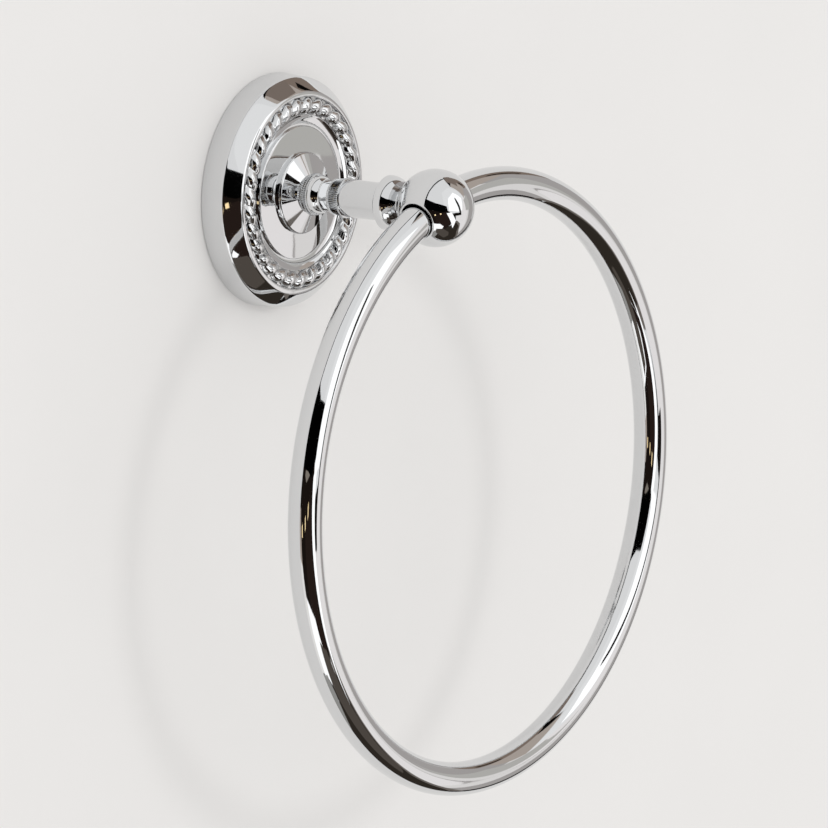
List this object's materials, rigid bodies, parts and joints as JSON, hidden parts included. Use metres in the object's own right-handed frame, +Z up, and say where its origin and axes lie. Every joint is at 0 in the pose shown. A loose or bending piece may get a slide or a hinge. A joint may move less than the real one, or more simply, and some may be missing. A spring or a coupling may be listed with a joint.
{
  "type": "towel ring",
  "caption": "Wall-mounted towel ring: a round ring swings in a cross-bored ball on a turned post, above a dished rose with a rope bead.",
  "frame": {"origin": "on the wall, on the axis of the rose", "axes": "+Z up, +Y into the wall, so the front faces -Y, and +X to the right seen from the front"},
  "size_m": [0.1648, 0.0624, 0.1908],
  "materials": {
    "chrome": "polished",
    "cast_bracket": "as cast",
    "plated_steel": "zinc plated"
  },
  "bodies": {
    "fixture": {"rose": "chrome", "post": "chrome", "ball": "chrome", "wall_bracket": "cast_bracket", "post_screw": "plated_steel", "washer": "plated_steel", "set_screw": "plated_steel"},
    "ring": {"ring": "chrome"}
  },
  "joints": [
    {"name": "ring_swing", "type": "hinge", "parent": "fixture", "child": "ring", "pos_m": [0, -0.0523, 0], "axis": [-1, 0, 0], "range_deg": [-17.5, 197.5]}
  ]
}
